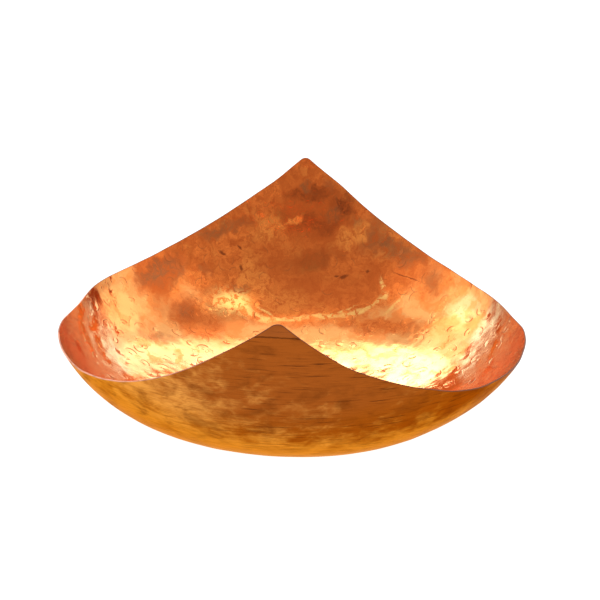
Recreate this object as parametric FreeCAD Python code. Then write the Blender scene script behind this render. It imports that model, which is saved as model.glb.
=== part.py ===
"""A hammered copper bowl, raised by hand from one sheet of copper.

The sheet is dished into a round bowl with a small flat to stand on. Its edge is cut so that it
stays low across the two round lobes, left and right, and sweeps up to a point at the front and at
the back. Nothing is soldered, riveted or folded on: the whole object is one piece of sheet.

Frame: the origin is the centre of the flat that the bowl stands on. +Z is up, the points are on
the Y axis with the front one at -Y, and the lobes are on the X axis. Millimetres and degrees.
"""

import FreeCAD
import Part
import math
import os

# The sheet
SHEET = 1.2
HALF_WIDTH = 175.0  # from the axis to the outside of a lobe's rim

# Its section, from the flat outwards: a shallow floor arc, a tighter wall arc, a straight lean
FLOOR_RADIUS = 235.0
FLOOR_SWEEP = 20.0  # how steep the floor has become where the wall arc takes over
WALL_RADIUS = 108.0
WALL_LEAN = 75.0  # slope of the straight wall at the points, from level

# Its rim, as seen from the front
LOBE_HEIGHT = 66.0
POINT_HEIGHT = 147.0  # where the two edges of a point would meet if it came to nothing
RIM_POWER = 1.84  # 1 would be a straight edge from point to lobe, more hangs it lower
POINT_NOSE = 4.0  # half the width over which a point's end is filed round
RIM_STEPS = 14

TRIM_MARGIN = 30.0  # how far the untrimmed sheet and the trimming block reach past the rim


def vector(x, z):
    return FreeCAD.Vector(x, 0.0, z)


def on_arc(centre, radius, slope):
    """The point of an arc, open side up, where its slope is as given."""
    angle = math.radians(slope)
    return vector(centre.x + radius * math.sin(angle), centre.z - radius * math.cos(angle))


def arc_run(radius, start, end):
    """How far out an arc carries the section between two slopes."""
    return radius * (math.sin(math.radians(end)) - math.sin(math.radians(start)))


def section_centres():
    """The centres of the floor and wall arcs, placed so that the lobes are HALF_WIDTH out."""
    wall_centre_z = FLOOR_RADIUS - (FLOOR_RADIUS - WALL_RADIUS) * math.cos(math.radians(FLOOR_SWEEP))
    lobe_slope = math.degrees(math.acos((wall_centre_z - LOBE_HEIGHT) / WALL_RADIUS))
    floor_run = arc_run(FLOOR_RADIUS, 0, FLOOR_SWEEP)
    flat_radius = HALF_WIDTH - floor_run - arc_run(WALL_RADIUS, FLOOR_SWEEP, lobe_slope)
    floor_centre = vector(flat_radius, FLOOR_RADIUS)
    wall_centre_x = flat_radius + (FLOOR_RADIUS - WALL_RADIUS) * math.sin(math.radians(FLOOR_SWEEP))
    return floor_centre, vector(wall_centre_x, wall_centre_z)


def section_edges(inset):
    """The section from the axis to past the points, inset from the outer face by a distance."""
    floor_centre, wall_centre = section_centres()
    middle = vector(0, inset)
    flat_end = vector(floor_centre.x, inset)
    floor_mid = on_arc(floor_centre, FLOOR_RADIUS - inset, FLOOR_SWEEP / 2)
    floor_end = on_arc(floor_centre, FLOOR_RADIUS - inset, FLOOR_SWEEP)
    wall_mid = on_arc(wall_centre, WALL_RADIUS - inset, (FLOOR_SWEEP + WALL_LEAN) / 2)
    wall_end = on_arc(wall_centre, WALL_RADIUS - inset, WALL_LEAN)
    rise = POINT_HEIGHT + TRIM_MARGIN - wall_end.z
    top = vector(wall_end.x + rise / math.tan(math.radians(WALL_LEAN)), POINT_HEIGHT + TRIM_MARGIN)
    return [
        Part.makeLine(middle, flat_end),
        Part.Arc(flat_end, floor_mid, floor_end).toShape(),
        Part.Arc(floor_end, wall_mid, wall_end).toShape(),
        Part.makeLine(wall_end, top),
    ]


def untrimmed_sheet():
    """The dished sheet, spun round Z, before its rim is cut."""
    outer = section_edges(0.0)
    inner = section_edges(SHEET)
    top = Part.makeLine(outer[-1].Vertexes[-1].Point, inner[-1].Vertexes[-1].Point)
    axis = Part.makeLine(inner[0].Vertexes[0].Point, outer[0].Vertexes[0].Point)
    face = Part.Face(Part.Wire(outer + [top] + inner[::-1] + [axis]))
    return face.revolve(FreeCAD.Vector(0, 0, 0), FreeCAD.Vector(0, 0, 1), 360)


def rim_height(x):
    """Height of the cut edge at a distance from the middle, in front view."""
    reach = 1 - abs(x) / HALF_WIDTH
    return LOBE_HEIGHT + (POINT_HEIGHT - LOBE_HEIGHT) * reach**RIM_POWER


def rim_slope(x):
    reach = 1 - abs(x) / HALF_WIDTH
    return -(POINT_HEIGHT - LOBE_HEIGHT) * RIM_POWER / HALF_WIDTH * reach ** (RIM_POWER - 1)


def rim_edges():
    """The rim in front view, from the left lobe over the point to the right lobe."""
    nose_slope = rim_slope(POINT_NOSE)
    nose_radius = POINT_NOSE / math.sin(math.atan(-nose_slope))
    nose_top = rim_height(POINT_NOSE) + nose_radius - math.sqrt(nose_radius**2 - POINT_NOSE**2)
    step = (HALF_WIDTH - POINT_NOSE) / RIM_STEPS
    places = [POINT_NOSE + step * i for i in range(RIM_STEPS + 1)]
    right = Part.BSplineCurve()
    right.interpolate(
        Points=[vector(x, rim_height(x)) for x in places],
        InitialTangent=vector(1, nose_slope),
        FinalTangent=vector(1, 0),
    )
    right_edge = right.toShape()
    left_edge = right_edge.mirror(FreeCAD.Vector(0, 0, 0), FreeCAD.Vector(1, 0, 0))
    foot = rim_height(POINT_NOSE)
    nose = Part.Arc(vector(-POINT_NOSE, foot), vector(0, nose_top), vector(POINT_NOSE, foot)).toShape()
    return [left_edge, nose, right_edge]


def trimming_block():
    """Everything above the rim: the front view of the rim, drawn out along Y."""
    side = HALF_WIDTH + 2 * TRIM_MARGIN
    top = POINT_HEIGHT + 2 * TRIM_MARGIN
    frame = Part.makePolygon(
        [
            vector(HALF_WIDTH, LOBE_HEIGHT),
            vector(side, LOBE_HEIGHT),
            vector(side, top),
            vector(-side, top),
            vector(-side, LOBE_HEIGHT),
            vector(-HALF_WIDTH, LOBE_HEIGHT),
        ]
    )
    reach = HALF_WIDTH + 2 * TRIM_MARGIN
    face = Part.Face(Part.Wire(Part.sortEdges(rim_edges() + frame.Edges)[0]))
    face.translate(FreeCAD.Vector(0, -reach, 0))
    return face.extrude(FreeCAD.Vector(0, 2 * reach, 0))


def hammered_bowl():
    """The bowl: the dished sheet with its rim cut."""
    bowl = untrimmed_sheet().cut(trimming_block())
    return bowl.Solids[0]


def main():
    os.makedirs("parts", exist_ok=True)
    nodes = {"hammered_bowl": hammered_bowl()}
    for name, shape in nodes.items():
        if not shape.isValid() or shape.ShapeType != "Solid":
            raise ValueError(name + " is not one valid solid")
        shape.exportStep("parts/" + name + ".step")
        box = shape.optimalBoundingBox()
        size = f"{box.XLength:.2f} x {box.YLength:.2f} x {box.ZLength:.2f} mm"
        print(f"{name}: {size}, {shape.Volume / 1000:.2f} cm3")


main()
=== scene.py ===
import math
import random

import bpy
import numpy as np
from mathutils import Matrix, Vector, kdtree, noise


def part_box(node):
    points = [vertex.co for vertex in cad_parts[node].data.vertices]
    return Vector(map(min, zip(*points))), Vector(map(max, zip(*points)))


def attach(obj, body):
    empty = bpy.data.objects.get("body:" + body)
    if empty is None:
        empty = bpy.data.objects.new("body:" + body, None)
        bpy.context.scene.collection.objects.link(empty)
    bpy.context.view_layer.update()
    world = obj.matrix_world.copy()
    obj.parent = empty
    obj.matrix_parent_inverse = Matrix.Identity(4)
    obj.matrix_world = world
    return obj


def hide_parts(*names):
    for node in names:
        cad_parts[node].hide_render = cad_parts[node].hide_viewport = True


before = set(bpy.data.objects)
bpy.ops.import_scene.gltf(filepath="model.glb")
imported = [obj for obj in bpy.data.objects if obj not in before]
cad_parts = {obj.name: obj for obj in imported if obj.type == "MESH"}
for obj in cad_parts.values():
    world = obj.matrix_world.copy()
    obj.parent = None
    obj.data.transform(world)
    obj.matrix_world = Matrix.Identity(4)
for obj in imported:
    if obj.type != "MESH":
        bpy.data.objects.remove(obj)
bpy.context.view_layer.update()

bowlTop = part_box("hammered_bowl")[1]
mm = 0.001

# The sheet was raised from flat, so a place on it is known by its run, measured along the metal from
# the middle, and by its angle round the bowl. The two points lie on Y and the two lobes on X.
bowl = {
    "sheet": 1.2 * mm,
    "halfWidth": bowlTop.x,
    "floorRadius": 235 * mm,
    "floorSweep": math.radians(20),
    "wallRadius": 108 * mm,
    "wallLean": math.radians(75),
    "lobeHeight": 66 * mm,
    "pointHeight": 147 * mm,
    "rimPower": 1.84,
    "rimBetween": (120 * mm, 340 * mm),  # runs that the cut edge surely lies between
    "pointNose": 4 * mm,
    "backTipOff": 1.6 * mm,  # how far off the middle the back point was cut
    "nibble": 0.45 * mm,  # how unevenly the shears bit
    "nibbles": 9,  # more makes the bites shorter
    "nibbleSlice": 4.2,  # which slice of the noise the bites are read from
    "cells": 218,  # across the sheet each way, from one stretch of rim to the other
    "crowding": 0.25,  # how much closer the cells lie at the points and lobes
    "filed": 0.3 * mm,  # chamfer that the file left on both sides of the edge
    "crease": 9 * mm,  # where the end of each point was nipped, from its tip
    "nip": math.radians(5),
    "swayFrom": 0.4,  # share of the way to the rim at which a sway sets in
    "sharpFrom": math.radians(35),
}

# Where the shears wandered off the line: angle round the bowl, spread of the wander, reach in mm
rimWander = [
    (-150, 18, -2.4), (-101, 7, 1.5), (-79, 8, -1.4), (-57, 12, 2.4), (-12, 9, -3.4), (14, 7, -2.0),
    (55, 20, -1.2), (80, 5, 1.5), (96, 5, -0.9), (152, 12, 2.4), (170, 9, -3.6), (186, 9, 0.3),
]

# Where the wall was left leaning out more than true: angle, spread, and mm out at the rim
sways = [(3, 23, 3.8), (180, 20, 0.6)]

# Where the floor was dished deeper than true, or less deep: place on the sheet, spread and depth in mm
hollows = [(88, 6, 38, 2.6), (36, 134, 42, -2.8)]

hammering = {
    "seed": 11,
    "ringGap": 11 * mm,  # the blows go round in rings, from the middle out
    "blowGap": 11 * mm,
    "outTo": 290 * mm,  # past the tips of the points
    "scatter": 3.2 * mm,
    "faceRadius": (4.5 * mm, 8.0 * mm),
    "lightBlow": (0.03 * mm, 0.11 * mm),
    "heavyBlow": (0.14 * mm, 0.26 * mm),
    "heavyShare": 0.16,
    "tipped": 0.7,  # how much deeper a blow is on the side that the hammer tipped to
    "fade": 1.5,  # how steeply a blow fades towards its edge
    "heave": 0.75 * mm,  # slow unevenness of the whole sheet
    "heaveSize": 70 * mm,
    "heaveSlice": 3.1,
    "ripple": 0.16 * mm,
    "rippleSize": 20 * mm,
    "rippleSlice": 8.7,
    "throughShare": 0.45,  # how much of a blow shows on the outside
    "trueFlat": 50 * mm,  # the middle was trued flat afterwards, out to here
}


def section(run):
    # how far out, how high and how steep the outer face is
    floor, wall = bowl["floorRadius"], bowl["wallRadius"]
    sweep, lean = bowl["floorSweep"], bowl["wallLean"]
    centreHigh = floor - (floor - wall) * math.cos(sweep)
    lobeSlope = math.acos((centreHigh - bowl["lobeHeight"]) / wall)
    flat = bowl["halfWidth"] - floor * math.sin(sweep) - wall * (math.sin(lobeSlope) - math.sin(sweep))
    centreOut = flat + (floor - wall) * math.sin(sweep)
    floorEnd = flat + floor * sweep
    wallEnd = floorEnd + wall * (lean - sweep)
    slope = np.clip((run - flat) / floor, 0, sweep)
    slope = slope + np.clip((run - floorEnd) / wall, 0, lean - sweep)
    onFloor = run < floorEnd
    past = np.maximum(run - wallEnd, 0)
    out = np.where(onFloor, flat + floor * np.sin(slope), centreOut + wall * np.sin(slope))
    rise = np.where(onFloor, floor * (1 - np.cos(slope)), centreHigh - wall * np.cos(slope))
    out = np.where(run < flat, run, out) + past * math.cos(lean)
    return out, rise + past * math.sin(lean), slope


def cutHeight(x):
    # height of the cut edge in front view, with the end of each point filed round
    half, low, nose, power = (bowl[key] for key in ("halfWidth", "lobeHeight", "pointNose", "rimPower"))
    drop = bowl["pointHeight"] - low
    left = 1 - nose / half
    steep = math.atan(drop * power / half * left ** (power - 1))
    noseRadius = nose / math.sin(steep)
    noseFoot = low + drop * left ** power - noseRadius * math.cos(steep)
    x = np.abs(x)
    straight = low + drop * np.clip(1 - x / half, 0, 1) ** power
    return np.where(x < nose, noseFoot + np.sqrt(np.maximum(noseRadius ** 2 - x ** 2, 0)), straight)


def feltAt(angle, middle, spread):
    # how much of something centred on one angle round the bowl is felt at another
    turn = (np.degrees(angle) - middle + 180) % 360 - 180
    return np.exp(-((turn / spread) ** 2))


def rimRun(angle):
    # the run at which the sheet was cut, all round
    near, far = (np.full_like(angle, run) for run in bowl["rimBetween"])
    tipOff = bowl["backTipOff"] * (angle % (2 * math.pi) < math.pi)
    for _ in range(40):
        half = (near + far) / 2
        out, rise, _ = section(half)
        above = rise > cutHeight(out * np.cos(angle) - tipOff)
        near, far = np.where(above, near, half), np.where(above, half, far)
    run = (near + far) / 2
    for middle, spread, reach in rimWander:
        run = run + reach * mm * feltAt(angle, middle, spread)
    n = bowl["nibbles"]
    nibble = [noise.noise(Vector((n * math.cos(a), n * math.sin(a), bowl["nibbleSlice"]))) for a in angle]
    return run + bowl["nibble"] * np.array(nibble)


def noiseOver(spots, size, level):
    return np.array([noise.noise(Vector((u / size, v / size, level))) for u, v in spots])


def blows():
    # every hammer blow: its place on the sheet, its reach, its depth and the way the hammer tipped
    h = hammering
    dice = random.Random(h["seed"])
    run = h["ringGap"] / 2
    while run < h["outTo"]:
        count = max(3, round(2 * math.pi * run / h["blowGap"]))
        start = dice.uniform(0, 2 * math.pi)
        for i in range(count):
            angle = start + 2 * math.pi * i / count
            u = run * math.cos(angle) + dice.uniform(-1, 1) * h["scatter"]
            v = run * math.sin(angle) + dice.uniform(-1, 1) * h["scatter"]
            depth = h["heavyBlow"] if dice.random() < h["heavyShare"] else h["lightBlow"]
            yield u, v, dice.uniform(*h["faceRadius"]), dice.uniform(*depth), dice.uniform(0, 2 * math.pi)
        run += h["ringGap"]


def dented(spots):
    # how deep the blows pushed the metal in, at each place on the sheet
    tree = kdtree.KDTree(len(spots))
    for i, (u, v) in enumerate(spots):
        tree.insert((u, v, 0), i)
    tree.balance()
    depthAt = np.zeros(len(spots))
    for u, v, reach, depth, tip in blows():
        index = [found[1] for found in tree.find_range((u, v, 0), reach)]
        du, dv = (spots[index] - (u, v)).T / reach
        tipped = 1 + hammering["tipped"] * (du * math.cos(tip) + dv * math.sin(tip))
        depthAt[index] += depth * tipped * (1 - du ** 2 - dv ** 2).clip(0) ** hammering["fade"]
    return depthAt


def heaved(spots, run):
    # how far the whole sheet is out of true, outward or down being positive
    h = hammering
    heave = h["heave"] * noiseOver(spots, h["heaveSize"], h["heaveSlice"])
    heave = heave + h["ripple"] * noiseOver(spots, h["rippleSize"], h["rippleSlice"])
    for u, v, spread, depth in hollows:
        away = np.hypot(*(spots / mm - (u, v)).T)
        heave += depth * mm * np.exp(-((away / spread) ** 2))
    return heave * np.clip(run / h["trueFlat"], 0, 1)


def gridOverSheet():
    # a square grid pressed round: its corners go to the points and the lobes
    line = np.linspace(-1, 1, bowl["cells"] + 1)
    line = (1 - bowl["crowding"]) * line + bowl["crowding"] * np.sin(line * math.pi / 2)
    across, along = np.meshgrid(line, line, indexing="ij")
    roundX = (across * np.sqrt(1 - along ** 2 / 2)).ravel()
    roundY = (along * np.sqrt(1 - across ** 2 / 2)).ravel()
    angle = np.arctan2(roundY, roundX) + math.pi / 4
    rim = rimRun(angle) - bowl["filed"]
    return angle, np.hypot(roundX, roundY) * rim, rim


def edgeOfGrid(n):
    # the outermost grid points, once round, anticlockwise from above
    corners = [(i, 0) for i in range(n)] + [(n, j) for j in range(n)]
    corners += [(i, n) for i in range(n, 0, -1)] + [(0, j) for j in range(n, 0, -1)]
    return np.array([i * (n + 1) + j for i, j in corners])


def facesOfSheet(n, edge):
    # faces of the inside, the outside and the filed edge between them, and the finish that each has
    side, count = (n + 1) ** 2, len(edge)
    quads, finish = [], []
    for i in range(n):
        for j in range(n):
            corner = i * (n + 1) + j
            quad = (corner, corner + n + 1, corner + n + 2, corner + 1)
            quads += [quad, tuple(side + c for c in reversed(quad))]
            finish += [0, 1]
    for k in range(count):
        rails = [(int(edge[q]), 2 * side + q, 2 * side + count + q, side + int(edge[q]))
                 for q in (k, (k + 1) % count)]
        quads += [(rails[1][r], rails[0][r], rails[0][r + 1], rails[1][r + 1]) for r in range(3)]
        finish += [2, 2, 2]
    return quads, finish


def makeBowl():
    angle, run, rim = gridOverSheet()
    spots = np.column_stack((run * np.cos(angle), run * np.sin(angle)))
    print("cut the sheet:", len(spots), "places on each side")

    dents = dented(spots)
    heave = heaved(spots, run)
    out, rise, slope = section(run)
    out = out - np.maximum(run - (rim.max() - bowl["crease"]), 0) * math.sin(bowl["nip"])
    for middle, spread, reach in sways:
        felt = np.clip(run / rim - bowl["swayFrom"], 0, 1) / (1 - bowl["swayFrom"])
        out = out + reach * mm * feltAt(angle, middle, spread) * felt

    def face(inset):
        # a side of the sheet, that far in from the true outer face
        far = out - np.sin(slope) * inset
        return np.column_stack((far * np.cos(angle), far * np.sin(angle), rise + np.cos(slope) * inset))

    inner = face(bowl["sheet"] - dents - heave)
    outer = face(-heave - dents * hammering["throughShare"])
    outer[:, 2] = np.maximum(outer[:, 2], 0)
    print("hammered it")

    edge = edgeOfGrid(bowl["cells"])
    through = outer[edge] - inner[edge]
    through *= bowl["filed"] / np.linalg.norm(through, axis=1)[:, None]
    past = np.column_stack((np.cos(slope) * np.cos(angle), np.cos(slope) * np.sin(angle), np.sin(slope)))
    past = past[edge]
    past *= bowl["filed"]
    verts = np.vstack((inner, outer, inner[edge] + past + through, outer[edge] + past - through))
    quads, finish = facesOfSheet(bowl["cells"], edge)

    mesh = bpy.data.meshes.new("hammeredBowlSheet")
    mesh.from_pydata(verts.tolist(), [], quads)
    mesh.polygons.foreach_set("material_index", finish)
    allSpots = np.vstack((spots, spots, spots[edge], spots[edge]))
    flatPlace = mesh.attributes.new("flatPlace", "FLOAT_VECTOR", "POINT")
    flatPlace.data.foreach_set("vector", np.column_stack((allSpots, np.zeros(len(allSpots)))).ravel())
    mesh.shade_smooth()
    mesh.set_sharp_from_angle(angle=bowl["sharpFrom"])
    piece = bpy.data.objects.new("hammered_bowl_sheet", mesh)
    bpy.context.scene.collection.objects.link(piece)
    print("joined both sides round the rim:", len(quads), "faces")
    return piece


# Shader helpers
def newGroup(name, inputs, outputs):
    group = bpy.data.node_groups.new(name, "ShaderNodeTree")
    for socket, kind, value in inputs:
        made = group.interface.new_socket(socket, in_out="INPUT", socket_type="NodeSocket" + kind)
        if value is not None:
            made.default_value = value
    for socket, kind in outputs:
        group.interface.new_socket(socket, in_out="OUTPUT", socket_type="NodeSocket" + kind)
    return group, group.nodes.new("NodeGroupInput").outputs, group.nodes.new("NodeGroupOutput").inputs


def feed(tree, socket, value):
    if isinstance(value, bpy.types.NodeSocket):
        tree.links.new(value, socket)
    else:
        socket.default_value = value


def add(tree, kind, values=None, **settings):
    made = tree.nodes.new("ShaderNode" + kind)
    for name, value in settings.items():
        setattr(made, name, value)
    for name, value in (values or {}).items():
        feed(tree, made.inputs[name], value)
    return made


def calc(tree, operation, a, b=0.0, c=0.0):
    return add(tree, "Math", {0: a, 1: b, 2: c}, operation=operation).outputs[0]


def vectorCalc(tree, operation, a, b=(0, 0, 0), output=0):
    return add(tree, "VectorMath", {0: a, 1: b}, operation=operation).outputs[output]


def scaled(tree, vector, scale):
    return add(tree, "VectorMath", {0: vector, "Scale": scale}, operation="SCALE").outputs[0]


def between(tree, value, start, end, atStart=0.0, atEnd=1.0):
    values = {"Value": value, "From Min": start, "From Max": end, "To Min": atStart, "To Max": atEnd}
    return add(tree, "MapRange", values, interpolation_type="SMOOTHSTEP").outputs["Result"]


def mixed(tree, share, under, over):
    made = add(tree, "Mix", data_type="RGBA")
    for socket, value in (("Factor_Float", share), ("A_Color", under), ("B_Color", over)):
        feed(tree, next(s for s in made.inputs if s.identifier == socket), value)
    return next(s for s in made.outputs if s.identifier == "Result_Color")


def place(tree, group, values):
    made = tree.nodes.new("ShaderNodeGroup")
    made.node_tree = group
    for name, value in values.items():
        feed(tree, made.inputs[name], value)
    return made.outputs


def makeHammerMarks():
    # crescents where the edge of the hammer bit, at most one to a cell, each turned its own way
    group, given, made = newGroup(
        "hammerMarks",
        [("Place", "Vector", None), ("Spacing", "Float", 0.012), ("Reach", "Float", 0.36),
         ("Line", "Float", 0.07), ("Share", "Float", 0.5), ("Turn", "Float", 0.0)],
        [("Height", "Float"), ("Bite", "Float")],
    )
    spread = scaled(group, given["Place"], calc(group, "DIVIDE", 1.0, given["Spacing"]))
    shifted = vectorCalc(group, "ADD", spread, (13.7, 5.1, 0))
    values = {"Vector": shifted, "Scale": 1.0, "Randomness": 0.9}
    cells = add(group, "TexVoronoi", values, voronoi_dimensions="2D").outputs
    away = vectorCalc(group, "SUBTRACT", shifted, cells["Position"])
    dice = add(group, "SeparateColor", {0: cells["Color"]}).outputs
    turn = calc(group, "ADD", calc(group, "MULTIPLY", dice[0], 2 * math.pi), given["Turn"])
    values = {0: calc(group, "COSINE", turn), 1: calc(group, "SINE", turn)}
    facing = add(group, "CombineXYZ", values).outputs[0]
    distance = vectorCalc(group, "LENGTH", away, output="Value")
    forward = vectorCalc(group, "DOT_PRODUCT", away, facing, output="Value")
    along = calc(group, "DIVIDE", forward, calc(group, "MAXIMUM", distance, 0.01))
    reach = calc(group, "MULTIPLY", given["Reach"], calc(group, "MULTIPLY_ADD", dice[1], 0.5, 0.7))
    ring = calc(group, "ABSOLUTE", calc(group, "SUBTRACT", distance, reach))
    arc = between(group, ring, given["Line"], 0.0)
    shown = calc(group, "LESS_THAN", dice[2], given["Share"])
    bite = calc(group, "MULTIPLY", calc(group, "MULTIPLY", arc, between(group, along, 0.15, 0.85)), shown)
    hollow = calc(group, "MULTIPLY", between(group, distance, reach, 0.0), shown)
    hollow = calc(group, "MULTIPLY", hollow, calc(group, "MULTIPLY_ADD", along, 0.5, 0.5))
    feed(group, made["Height"], calc(group, "SUBTRACT", calc(group, "MULTIPLY", bite, 0.5), hollow))
    feed(group, made["Bite"], bite)
    return group


def makeFlameClouds():
    # the soft-edged colour that a torch leaves on copper
    group, given, made = newGroup(
        "flameClouds",
        [("Place", "Vector", None), ("Size", "Float", 0.05), ("Ragged", "Float", 0.6),
         ("From", "Float", 0.45), ("To", "Float", 0.6)],
        [("Clouds", "Float")],
    )
    spread = scaled(group, given["Place"], calc(group, "DIVIDE", 1.0, given["Size"]))
    values = {"Vector": spread, "Scale": 1.0, "Detail": 4.0, "Roughness": given["Ragged"],
              "Distortion": 0.5}
    puffs = add(group, "TexNoise", values).outputs["Fac"]
    feed(group, made["Clouds"], between(group, puffs, given["From"], given["To"]))
    return group


def makeFlameMark():
    # one mark at a known place: an oval with a soft edge
    group, given, made = newGroup(
        "flameMark",
        [("Place", "Vector", None), ("Middle", "Vector", None), ("Half Size", "Vector", (1, 1, 1)),
         ("Turn", "Float", 0.0), ("Soft", "Float", 0.5)],
        [("Mark", "Float")],
    )
    away = vectorCalc(group, "SUBTRACT", given["Place"], given["Middle"])
    values = {"Vector": away, "Angle": given["Turn"]}
    turned = add(group, "VectorRotate", values, rotation_type="Z_AXIS").outputs[0]
    stretched = vectorCalc(group, "DIVIDE", turned, given["Half Size"])
    distance = vectorCalc(group, "LENGTH", stretched, output="Value")
    outer = calc(group, "ADD", given["Soft"], 1.0)
    feed(group, made["Mark"], between(group, distance, outer, calc(group, "SUBTRACT", 1.0, given["Soft"])))
    return group


def makeDrawnLines():
    # fine lines drawn round the bowl by the mandrel and the polishing cloth
    group, given, made = newGroup(
        "drawnLines",
        [("Place", "Vector", None), ("Length", "Float", 0.05), ("Height", "Float", 0.001),
         ("From", "Float", 0.5), ("To", "Float", 0.6)],
        [("Lines", "Float")],
    )
    parts = add(group, "SeparateXYZ", {0: given["Place"]}).outputs
    flat = add(group, "CombineXYZ", {0: parts[0], 1: parts[1]}).outputs[0]
    stretch = calc(group, "DIVIDE", 0.15, given["Length"])
    circled = scaled(group, vectorCalc(group, "NORMALIZE", flat), stretch)
    up = add(group, "CombineXYZ", {2: calc(group, "DIVIDE", parts[2], given["Height"])}).outputs[0]
    wound = vectorCalc(group, "ADD", circled, up)
    values = {"Vector": wound, "Scale": 1.0, "Detail": 3.0, "Roughness": 0.55, "Distortion": 0.15}
    paintedHighlightStreaks = add(group, "TexNoise", values).outputs["Fac"]
    feed(group, made["Lines"], between(group, paintedHighlightStreaks, given["From"], given["To"]))
    return group


def cloud(tree, groups, where, size, start, end, shift=0.0, ragged=0.6):
    shifted = vectorCalc(tree, "ADD", where, (shift, shift / 2, 0))
    values = {"Place": shifted, "Size": size, "From": start, "To": end, "Ragged": ragged}
    return place(tree, groups["clouds"], values)[0]


def oval(tree, groups, where, u, v, wide, tall, turn, soft):
    values = {"Place": where, "Middle": (u * mm, v * mm, 0), "Half Size": (wide * mm, tall * mm, 1),
              "Turn": math.radians(-turn), "Soft": soft}
    return place(tree, groups["mark"], values)[0]


def newMaterial(name):
    material = bpy.data.materials.new(name)
    material.use_nodes = True
    tree = material.node_tree
    return material, tree, tree.nodes["Principled BSDF"]


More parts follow.
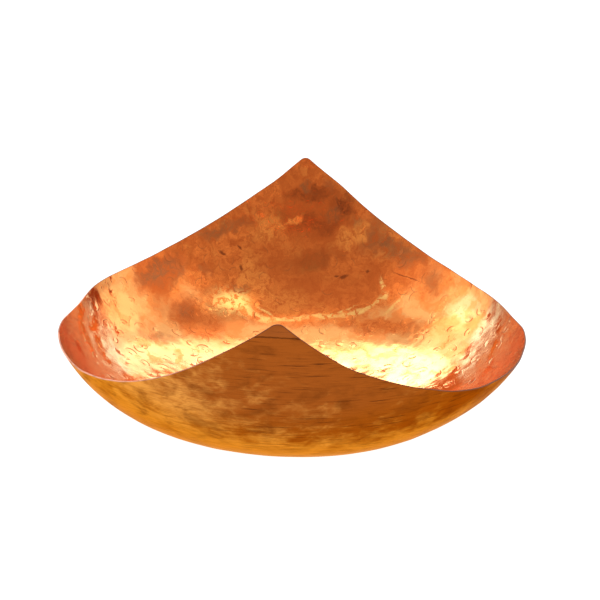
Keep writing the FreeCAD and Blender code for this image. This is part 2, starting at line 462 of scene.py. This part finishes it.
# The inside. A cloud is its size, where it starts and is full, its shift and its raggedness.
inside = {
    "clean": (0.97, 0.57, 0.24, 1),
    "bare": (0.985, 0.735, 0.41, 1),
    "worn": (0.99, 0.80, 0.47, 1),
    "gilded": (0.98, 0.40, 0.12, 1),
    # colour of the painted highlights
    "paintedHighlight": (1.0, 0.53, 0.15, 1),
    "amber": (1.0, 0.31, 0.060, 1),
    "flamed": (0.98, 0.235, 0.044, 1),
    "deep": (0.60, 0.115, 0.021, 1),
    "ember": (0.24, 0.045, 0.012, 1),
    "smoke": (0.38, 0.115, 0.036, 1),
    "bite": (0.40, 0.11, 0.03, 1),
    "roughness": 0.08,
    "flamedRoughness": 0.2,
    "satinRoughness": 0.2,
    "wanderScale": 75.0,  # per metre
    "torn": 9 * mm,  # how far the edges of the marks wander
    "tornLess": 0.3,  # share of that for the streaks and nicks
    # clouds within the flamed parts: colour, strength, cloud
    "flames": [
        ("deep", 0.75, (36 * mm, 0.42, 0.66)),
        ("amber", 0.55, (24 * mm, 0.50, 0.68, 0.5)),
        ("deep", 0.6, (12 * mm, 0.46, 0.66, 0.9, 0.7)),
    ],
    "blushing": (26 * mm, 0.40, 0.60, 1.4),
    "blushed": 0.7,
    "cleaning": (18 * mm, 0.36, 0.52, 2.2),
    "mottling": (5 * mm, 0.42, 0.72, 5.7, 0.7),
    "flecking": (8 * mm, 0.50, 0.66, 4.3, 0.7),
    "flecked": 0.45,
    "breaking": (6 * mm, 0.40, 0.56, 3.1),
    # marks of the torch and the cloth: colour, place on the sheet and half sizes in mm, turn in degrees,
    # strength, softness
    "marks": [
        ("clean", 0, 25, 150, 72, 0, 0.85, 0.3),
        ("flamed", 0, 215, 155, 90, 0, 1.0, 0.10),
        ("flamed", 0, -215, 150, 90, 0, 0.4, 0.20),
        ("flamed", -136, 148, 28, 36, 30, 0.9, 0.3),
        ("flamed", 128, 150, 28, 24, -35, 0.6, 0.4),
        ("bare", 202, -6, 72, 90, 0, 1.0, 0.12),
        ("bare", -202, -16, 74, 78, 0, 1.0, 0.12),
        ("worn", -205, -6, 60, 60, 0, 0.5, 0.3),
        ("clean", 150, 100, 18, 12, -40, 0.8, 0.5),
        ("clean", -152, 38, 18, 16, 0, 0.6, 0.6),
        ("flamed", 74, 117, 36, 9, -18, 0.9, 0.5),
        ("flamed", -85, 112, 22, 22, -25, 0.85, 0.5),
        ("deep", 15, 232, 44, 24, 0, 0.9, 0.5),
        ("deep", 0, 195, 34, 16, 10, 0.5, 0.7),
        ("deep", 20, 162, 42, 18, 0, 0.6, 0.6),
        ("deep", -130, 140, 15, 28, -30, 1.0, 0.5),
        ("deep", -97, 116, 14, 14, 0, 0.85, 0.6),
        ("deep", -90, 170, 16, 9, 20, 0.35, 0.7),
        ("deep", 72, 170, 26, 14, -20, 0.4, 0.7),
        ("ember", 46, 238, 13, 9, -20, 0.9, 0.6),
        ("ember", 10, 250, 26, 5, 5, 0.7, 0.6),
        ("ember", 15, 224, 34, 8, 0, 0.55, 0.7),
        ("ember", -24, 226, 10, 7, 30, 0.6, 0.6),
        ("ember", 12, 190, 26, 8, 10, 0.5, 0.7),
        ("ember", -53, 157, 8, 4, 0, 0.8, 0.6),
        ("ember", -182, 68, 9, 7, 0, 0.4, 0.5),
        ("ember", -133, 143, 6, 20, -35, 0.7, 0.6),
        ("ember", -120, 116, 8, 14, 0, 0.3, 0.6),
        ("smoke", 2, 258, 8, 5, 0, 0.9, 0.5),
        ("smoke", 32, 257, 6, 4, 0, 0.7, 0.5),
        ("smoke", 76, 210, 20, 14, 40, 0.7, 0.7),
        ("smoke", 100, 183, 26, 9, -35, 0.8, 0.6),
        ("smoke", 60, 222, 5, 4, 0, 0.9, 0.6),
        ("smoke", 88, 196, 8, 4, 20, 0.9, 0.6),
        ("smoke", 36, 232, 8, 6, 0, 0.7, 0.6),
        ("smoke", -66, 214, 14, 5, 30, 0.5, 0.6),
        ("smoke", 125, 145, 8, 10, 0, 0.6, 0.6),
        ("smoke", -132, 140, 8, 23, -35, 1.0, 0.6),
        ("smoke", -112, 150, 4, 14, -10, 0.7, 0.7),
        ("smoke", -99, 116, 7, 9, 20, 0.7, 0.7),
        ("smoke", -53, 158, 8, 3, 0, 0.8, 0.6),
        ("smoke", -88, 200, 18, 6, 35, 0.85, 0.6),
        ("smoke", -88, 163, 7, 5, 0, 0.5, 0.6),
        ("smoke", -112, 78, 15, 6, 20, 0.5, 0.7),
        ("amber", -8, 228, 10, 3, 8, 0.9, 0.7),
        ("amber", -24, 222, 7, 3, -10, 0.8, 0.7),
        ("amber", 45, 208, 6, 8, 0, 0.9, 0.7),
        ("amber", 60, 213, 8, 9, 0, 1.0, 0.7),
        ("amber", -36, 218, 16, 10, 30, 0.8, 0.7),
        ("amber", -45, 175, 10, 22, 20, 0.5, 0.7),
        ("amber", -20, 152, 30, 14, 0, 0.5, 0.5),
    ],
    # where the polish was left satin: place and half sizes in mm, turn in degrees
    "hazes": [(72, 70, 66, 22, -37), (-104, 40, 50, 16, 51), (-160, 52, 30, 9, -49), (137, 50, 11, 28, 0)],
    "hazeSoft": 0.6,
    # painted highlights: bright streaks standing in for reflected fringes of the tent's light: place and
    # half sizes in mm, turn in degrees
    "paintedHighlightStreaks": [
        (-62, 141, 17, 13, 0), (-56, 146, 12, 8, 30), (-32, 131, 20, 3, -22), (-42, 138, 12, 2.5, -25),
        (-8, 133, 18, 2.5, 5), (24, 135, 14, 2, -5), (50, 137, 13, 2.5, 8), (62, 139, 12, 2, 30),
        (78, 158, 1.8, 10, 12), (76, 146, 7, 4, 60), (36, 138, 16, 1.2, 20), (-28, 139, 9, 1.4, -30),
        (88, 138, 12, 1.8, 40), (-170, 40, 5, 10, 20), (-160, 24, 4, 9, 30), (-192, 58, 4, 6, 0),
        (-150, 12, 3, 8, 35), (-166, 8, 4, 12, 35), (-180, 24, 4, 12, 25), (-172, -12, 3, 10, 35),
        (-186, 40, 4, 8, 10), (166, 30, 3, 12, -30), (158, 6, 3, 10, -35), (176, 52, 3, 9, -20),
    ],
    "paintedHighlightSoft": 0.6,
    "paintedHighlightShown": 0.85,
    # nicks: place on the sheet and half sizes in mm, turn in degrees
    "nicks": [
        (-61, 194, 3, 1.2, -20), (-76, 186, 3.5, 1.2, -10), (-56, 176, 1.5, 2.2, 30), (42, 174, 5, 1.6, 10),
        (64, 176, 1.4, 1.6, 0), (34, 176, 2, 1.2, 0), (101, 160, 13, 0.6, -38),
    ],
    "nickSoft": 0.5,
    "nicked": 0.8,
    "hammered": {"Spacing": 14 * mm, "Share": 0.5, "Line": 0.06},
    "tapped": {"Spacing": 8 * mm, "Share": 0.25, "Turn": 2.0},
    "tappedShare": 0.35,  # how high the small marks stand beside the large
    "bitten": 0.5,
    "rippleScale": 110.0,  # per metre
    "rippleShare": 0.9,
    "bumpHeight": 0.18 * mm,
    "flamedBump": 0.6,
}


def makeInside(groups):
    material, tree, surface = newMaterial("flamed_polished_copper")
    flat = add(tree, "Attribute", attribute_name="flatPlace").outputs["Vector"]
    values = {"Vector": flat, "Scale": inside["wanderScale"], "Detail": 4.0, "Roughness": 0.6}
    wander = vectorCalc(tree, "SUBTRACT", add(tree, "TexNoise", values).outputs["Color"], (0.5, 0.5, 0.5))
    torn = scaled(tree, wander, 3 * inside["torn"])
    tornPlace = vectorCalc(tree, "MULTIPLY", vectorCalc(tree, "ADD", flat, torn), (1, 1, 0))
    nearPlace = vectorCalc(tree, "ADD", flat, scaled(tree, torn, inside["tornLess"]))
    nearPlace = vectorCalc(tree, "MULTIPLY", nearPlace, (1, 1, 0))

    def tornCloud(shape):
        return cloud(tree, groups, tornPlace, *shape)

    def weakened(value, share):
        return calc(tree, "MULTIPLY", value, share)

    flamed = inside["flamed"]
    for kind, strength, shape in inside["flames"]:
        flamed = mixed(tree, weakened(tornCloud(shape), strength), flamed, inside[kind])
    blush = weakened(tornCloud(inside["blushing"]), inside["blushed"])
    colour = mixed(tree, blush, inside["gilded"], inside["flamed"])
    dulled, satin = 0.0, 0.0
    for kind, u, v, wide, tall, turn, strength, soft in inside["marks"]:
        mark = weakened(oval(tree, groups, tornPlace, u, v, wide, tall, turn, soft), strength)
        if kind == "clean":
            mark = calc(tree, "MULTIPLY", mark, tornCloud(inside["cleaning"]))
        colour = mixed(tree, mark, colour, flamed if kind == "flamed" else inside[kind])
        if kind in ("flamed", "deep", "ember", "smoke"):
            dulled = calc(tree, "MAXIMUM", mark, dulled)
        if kind == "bare":
            satin = calc(tree, "MAXIMUM", mark, satin)
    mottled = calc(tree, "MULTIPLY", tornCloud(inside["mottling"]), dulled)
    colour = mixed(tree, mottled, colour, inside["deep"])
    flecks = weakened(tornCloud(inside["flecking"]), inside["flecked"])
    flecks = calc(tree, "MULTIPLY", flecks, calc(tree, "MAXIMUM", dulled, satin))
    colour = mixed(tree, flecks, colour, inside["deep"])
    for spot in inside["hazes"]:
        satin = calc(tree, "MAXIMUM", oval(tree, groups, tornPlace, *spot, inside["hazeSoft"]), satin)
    # painted highlights: bright streaks laid into the colour in place of reflections of the tent's light
    for spot in inside["paintedHighlightStreaks"]:
        paintedHighlightMask = oval(tree, groups, nearPlace, *spot, inside["paintedHighlightSoft"])
        paintedHighlightMask = calc(tree, "MULTIPLY", paintedHighlightMask, tornCloud(inside["breaking"]))
        colour = mixed(tree, weakened(paintedHighlightMask, inside["paintedHighlightShown"]), colour, inside["paintedHighlight"])
        satin = calc(tree, "MULTIPLY", satin, calc(tree, "SUBTRACT", 1.0, paintedHighlightMask))
    for spot in inside["nicks"]:
        nick = weakened(oval(tree, groups, nearPlace, *spot, inside["nickSoft"]), inside["nicked"])
        colour = mixed(tree, nick, colour, inside["ember"])

    large = place(tree, groups["hammer"], {"Place": flat, **inside["hammered"]})
    small = place(tree, groups["hammer"], {"Place": tornPlace, **inside["tapped"]})
    colour = mixed(tree, weakened(large["Bite"], inside["bitten"]), colour, inside["bite"])
    values = {"Vector": flat, "Scale": inside["rippleScale"], "Detail": 2.0, "Roughness": 0.5}
    ripple = add(tree, "TexNoise", values).outputs["Fac"]
    height = calc(tree, "MULTIPLY_ADD", small["Height"], inside["tappedShare"], large["Height"])
    height = calc(tree, "MULTIPLY_ADD", ripple, inside["rippleShare"], height)
    strength = between(tree, dulled, 0, 1, 1.0, inside["flamedBump"])
    normal = add(tree, "Bump", {"Height": height, "Distance": inside["bumpHeight"], "Strength": strength})
    rough = between(tree, dulled, 0, 1, inside["roughness"], inside["flamedRoughness"])
    rough = calc(tree, "MAXIMUM", rough, weakened(satin, inside["satinRoughness"]))
    feed(tree, surface.inputs["Base Color"], colour)
    feed(tree, surface.inputs["Roughness"], rough)
    feed(tree, surface.inputs["Normal"], normal.outputs[0])
    surface.inputs["Metallic"].default_value = 1.0
    return material


# The outside: painted light and shade, golden low down, where the pale table is reflected, and browner
# towards the right-hand rim and the points
outside = {
    # the first two colours are the lit and the shaded ends of the painted light and shade
    "golden": (0.80, 0.345, 0.072, 1),
    "paintedShadeBronze": (0.34, 0.083, 0.011, 1),
    "brown": (0.19, 0.044, 0.006, 1),
    "line": (0.11, 0.026, 0.006, 1),
    "tip": (0.32, 0.085, 0.018, 1),
    # colour of the painted reflection of the pale table at the foot
    "paintedFootReflection": (0.95, 0.55, 0.18, 1),
    "tinted": (0.80, 0.46, 0.20, 1),  # what the browned copper turns to where it is seen edge on
    "roughness": 0.40,
    "brownRoughness": 0.55,
    "squat": (1, 1, 1.7),  # the clouds are wider than they are high
    "higher": (18 * mm, 74 * mm),
    "across": (-110 * mm, 30 * mm),
    "atPoint": (70 * mm, 140 * mm),
    "atPointShade": 0.5,
    "leftShade": 0.3,  # share of the shade that the left-hand side gets
    "paler": -0.06,
    # clouds of shade: strength, cloud
    "patches": [(0.5, (26 * mm, 0.3, 0.7, 0.0, 0.5)), (0.3, (9 * mm, 0.3, 0.7, 0.7, 0.6))],
    "browning": (18 * mm, 0.46, 0.76, 0.3, 0.5),
    "brownedLow": 0.2,
    # the brown patina clouds are made stronger higher up, as painted shade
    "brownedHigh": 0.65,
    "paintedFootReflectionTo": 36 * mm,  # how far up the foot the painted reflection of the pale table reaches
    "paintedFootReflectionCloud": (12 * mm, 0.3, 0.5, 1.9),
    "fineLines": {"Length": 12 * mm, "Height": 0.8 * mm, "From": 0.42, "To": 0.78},
    "fineShown": 0.5,
    "boldLines": {"Length": 24 * mm, "Height": 1.2 * mm, "From": 0.59, "To": 0.73},
    "boldLow": 0.25,
    "boldHigh": 1.15,
    "boldDepth": 0.3,
    "creaseAt": 8.5 * mm,  # the nip line below each point
    "creaseHalf": 0.7 * mm,
    "creaseCore": 0.1 * mm,
    "creased": 0.85,
    "creaseWander": (20 * mm, 0.2, 0.8),
    "creaseWanders": 2 * mm,
    "tipFade": 0.5 * mm,
    "tipShown": 0.6,
    "hammered": {"Spacing": 16 * mm, "Share": 0.6, "Turn": 1.0},
    "hammeredShare": 0.6,
    "bumpHeight": 0.2 * mm,
}


def makeOutside(groups):
    # the outside's colour holds painted light and shade as well as its brown patina
    material, tree, surface = newMaterial("browned_satin_copper_with_painted_shade")
    o = outside
    spot = add(tree, "TexCoord").outputs["Object"]
    x, y, z = add(tree, "SeparateXYZ", {0: spot}).outputs
    squat = vectorCalc(tree, "MULTIPLY", spot, o["squat"])

    # painted light and shade: darker higher up, towards the right and at the points, and lighter low down,
    # where the pale table is reflected
    higher = between(tree, z, *o["higher"])
    across = between(tree, x, *o["across"])
    leaning = calc(tree, "MULTIPLY_ADD", across, 1 - o["leftShade"], o["leftShade"])
    shade = calc(tree, "MULTIPLY_ADD", higher, leaning, o["paler"])
    shade = calc(tree, "ADD", shade, between(tree, z, *o["atPoint"], 0.0, o["atPointShade"]))
    for strength, shape in o["patches"]:
        patch = calc(tree, "MULTIPLY_ADD", cloud(tree, groups, squat, *shape), strength, -strength / 2)
        shade = calc(tree, "ADD", shade, patch)
    colour = mixed(tree, between(tree, shade, 0, 1), o["golden"], o["paintedShadeBronze"])
    # brown patina clouds, made stronger higher up as painted shade
    brownPatinaAndShade = calc(tree, "MULTIPLY_ADD", higher, o["brownedHigh"] - o["brownedLow"], o["brownedLow"])
    brownPatinaAndShade = calc(tree, "MULTIPLY", cloud(tree, groups, squat, *o["browning"]), brownPatinaAndShade)
    colour = mixed(tree, brownPatinaAndShade, colour, o["brown"])
    # painted reflection: the foot brighter towards the bottom, where the pale table is reflected, broken up
    # by a cloud
    paintedFootReflection = between(tree, z, o["paintedFootReflectionTo"], 0)
    paintedFootReflection = calc(tree, "MULTIPLY", paintedFootReflection, cloud(tree, groups, squat, *o["paintedFootReflectionCloud"]))
    colour = mixed(tree, paintedFootReflection, colour, o["paintedFootReflection"])

    fine = place(tree, groups["lines"], {"Place": spot, **o["fineLines"]})[0]
    bold = place(tree, groups["lines"], {"Place": spot, **o["boldLines"]})[0]
    grained = calc(tree, "MULTIPLY", higher, across)
    grained = calc(tree, "MULTIPLY_ADD", grained, o["boldHigh"] - o["boldLow"], o["boldLow"])
    colour = mixed(tree, calc(tree, "MULTIPLY", fine, o["fineShown"]), colour, o["brown"])
    colour = mixed(tree, calc(tree, "MULTIPLY", bold, grained), colour, o["line"])

    wander = cloud(tree, groups, squat, *o["creaseWander"])
    fromTop = calc(tree, "SUBTRACT", bowlTop.z, calc(tree, "MULTIPLY_ADD", wander, o["creaseWanders"], z))
    edges = (o["creaseAt"] + o["tipFade"], o["creaseAt"] - o["tipFade"])
    onTip = between(tree, fromTop, *edges, 0, o["tipShown"])
    colour = mixed(tree, onTip, colour, o["tip"])
    fromCrease = calc(tree, "ABSOLUTE", calc(tree, "SUBTRACT", fromTop, o["creaseAt"]))
    crease = between(tree, fromCrease, o["creaseHalf"], o["creaseCore"])
    colour = mixed(tree, calc(tree, "MULTIPLY", crease, o["creased"]), colour, o["line"])

    flat = add(tree, "Attribute", attribute_name="flatPlace").outputs["Vector"]
    marks = place(tree, groups["hammer"], {"Place": flat, **o["hammered"]})
    height = calc(tree, "MULTIPLY", marks["Height"], o["hammeredShare"])
    height = calc(tree, "SUBTRACT", height, calc(tree, "MULTIPLY", bold, o["boldDepth"]))
    height = calc(tree, "SUBTRACT", height, crease)
    normal = add(tree, "Bump", {"Height": height, "Distance": o["bumpHeight"], "Strength": 1.0})
    rough = between(tree, brownPatinaAndShade, 0, 1, o["roughness"], o["brownRoughness"])
    feed(tree, surface.inputs["Base Color"], colour)
    feed(tree, surface.inputs["Roughness"], rough)
    feed(tree, surface.inputs["Normal"], normal.outputs[0])
    surface.inputs["Metallic"].default_value = 1.0
    surface.inputs["Specular Tint"].default_value = o["tinted"]
    return material


# The filed edge: dark and rougher everywhere but at the left lobe, which is dulled only in clouds
rimEdge = {
    "filed": (0.82, 0.38, 0.25, 1),
    "dulled": (0.20, 0.06, 0.025, 1),
    "roughness": 0.36,
    "dulledRoughness": 0.45,
    "dulling": (20 * mm, 0.4, 0.6),
    "dulledHere": 0.6,
    "darkenedAcross": (-80 * mm, -20 * mm),
    "darkenedBack": (20 * mm, 80 * mm),
}


def makeRimEdge(groups):
    material, tree, surface = newMaterial("filed_copper_edge")
    spot = add(tree, "TexCoord").outputs["Object"]
    x, y, z = add(tree, "SeparateXYZ", {0: spot}).outputs
    dull = calc(tree, "MULTIPLY", cloud(tree, groups, spot, *rimEdge["dulling"]), rimEdge["dulledHere"])
    # darker everywhere but at the left lobe
    darkenedPart = between(tree, x, *rimEdge["darkenedAcross"])
    darkenedPart = calc(tree, "MAXIMUM", darkenedPart, between(tree, y, *rimEdge["darkenedBack"]))
    dull = calc(tree, "MAXIMUM", dull, darkenedPart)
    rough = between(tree, dull, 0, 1, rimEdge["roughness"], rimEdge["dulledRoughness"])
    feed(tree, surface.inputs["Base Color"], mixed(tree, dull, rimEdge["filed"], rimEdge["dulled"]))
    feed(tree, surface.inputs["Roughness"], rough)
    surface.inputs["Metallic"].default_value = 1.0
    return material


# Studio: a pale table, and a light tent with soft lamps in it
studio = {
    "tableSize": 12.0,
    "tableDrop": 0.2 * mm,  # keeps the table off the flat that the bowl stands on
    "tableGlow": 1.0,
    "tableGrey": (0.2, 0.2, 0.2, 1),
    "tableRoughness": 0.7,
    "white": (1, 1, 1, 1),
    "tent": 0.78,
    "lamps": [  # azimuth from straight behind the bowl, elevation, inner and outer spread, glow
        (-16, 43, 5, 18, 3.3),
        (13, 39, 8, 20, 1.1),
        (-48, 34, 10, 20, 1.1),
        (38, 28, 8, 20, 0.4),
        (56, 27, 5, 16, 0.5),
        (-70, 28, 5, 16, 0.5),
        (0, 55, 6, 28, 0.4),
        (40, 45, 6, 20, 0.2),
        (86, 34, 14, 30, 0.42),
        (-92, 34, 14, 30, 0.42),
        (102, 70, 3, 11, 1.2),
        (180, 32, 20, 60, -0.14),  # the unlit side that the camera stands on
    ],
    # a hoop of the tent that shows bright on one side: degrees, but for its glow and the fade at its ends
    "hoop": {"fromZenith": 13, "half": 1.5, "fade": 4.5, "azimuth": 30, "glow": 0.8, "ends": (-0.02, 0.08)},
}


def makeStudio():
    bpy.ops.mesh.primitive_plane_add(size=studio["tableSize"])
    table = bpy.context.object
    table.name = "pale_table"
    table.location.z = -studio["tableDrop"]
    material, tree, surface = newMaterial("pale_table_paper")
    surface.inputs["Base Color"].default_value = studio["tableGrey"]
    surface.inputs["Roughness"].default_value = studio["tableRoughness"]
    surface.inputs["Emission Color"].default_value = studio["white"]
    surface.inputs["Emission Strength"].default_value = studio["tableGlow"]
    table.data.materials.append(material)

    world = bpy.data.worlds.new("light_tent")
    bpy.context.scene.world = world
    world.use_nodes = True
    tree = world.node_tree
    facing = add(tree, "TexCoord").outputs["Generated"]
    glow = 0.0
    for azimuth, elevation, inner, outer, strength in studio["lamps"]:
        a, e = math.radians(azimuth), math.radians(elevation)
        lamp = (math.sin(a) * math.cos(e), math.cos(a) * math.cos(e), math.sin(e))
        near = vectorCalc(tree, "DOT_PRODUCT", facing, lamp, output="Value")
        edges = (math.cos(math.radians(outer)), math.cos(math.radians(inner)))
        glow = calc(tree, "ADD", between(tree, near, *edges, 0.0, strength), glow)
    hoop = studio["hoop"]
    a = math.radians(hoop["azimuth"])
    fromZenith = calc(tree, "ARCCOSINE", add(tree, "SeparateXYZ", {0: facing}).outputs[2])
    band = calc(tree, "ABSOLUTE", calc(tree, "SUBTRACT", fromZenith, math.radians(hoop["fromZenith"])))
    band = between(tree, band, math.radians(hoop["fade"]), math.radians(hoop["half"]), 0.0, hoop["glow"])
    side = vectorCalc(tree, "DOT_PRODUCT", facing, (math.sin(a), math.cos(a), 0), output="Value")
    glow = calc(tree, "MULTIPLY_ADD", band, between(tree, side, *hoop["ends"]), glow)
    glow = calc(tree, "ADD", glow, studio["tent"])
    seen = add(tree, "LightPath").outputs["Is Camera Ray"]
    tent = add(tree, "CombineColor", {0: glow, 1: glow, 2: glow}).outputs[0]
    feed(tree, tree.nodes["Background"].inputs["Color"], mixed(tree, seen, tent, studio["white"]))
    bpy.context.scene.view_settings.view_transform = "Standard"


view = {
    "target": Vector((6.5, 0.2, 88.2)) * mm,
    "distance": 1.2,
    "azimuth": 2.0,
    "elevation": 20.5,
    "roll": 1.4,  # the camera leans to its left
    "lens": 95.3,
}


def makeCamera():
    camera = bpy.data.objects.new("camera", bpy.data.cameras.new("camera"))
    camera.data.lens = view["lens"]
    a, e = math.radians(view["azimuth"]), math.radians(view["elevation"])
    back = Vector((math.sin(a) * math.cos(e), -math.cos(a) * math.cos(e), math.sin(e)))
    camera.location = view["target"] + back * view["distance"]
    turn = back.to_track_quat("Z", "Y").to_euler()
    turn.rotate_axis("Z", math.radians(view["roll"]))
    camera.rotation_euler = turn
    bpy.context.scene.collection.objects.link(camera)
    bpy.context.scene.camera = camera


makeCamera()
makeStudio()
print("studio and camera set")
sheet = makeBowl()
groups = {
    "hammer": makeHammerMarks(),
    "clouds": makeFlameClouds(),
    "mark": makeFlameMark(),
    "lines": makeDrawnLines(),
}
for finish in (makeInside(groups), makeOutside(groups), makeRimEdge(groups)):
    sheet.data.materials.append(finish)
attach(sheet, "root")
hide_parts("hammered_bowl")
print("finished the copper")
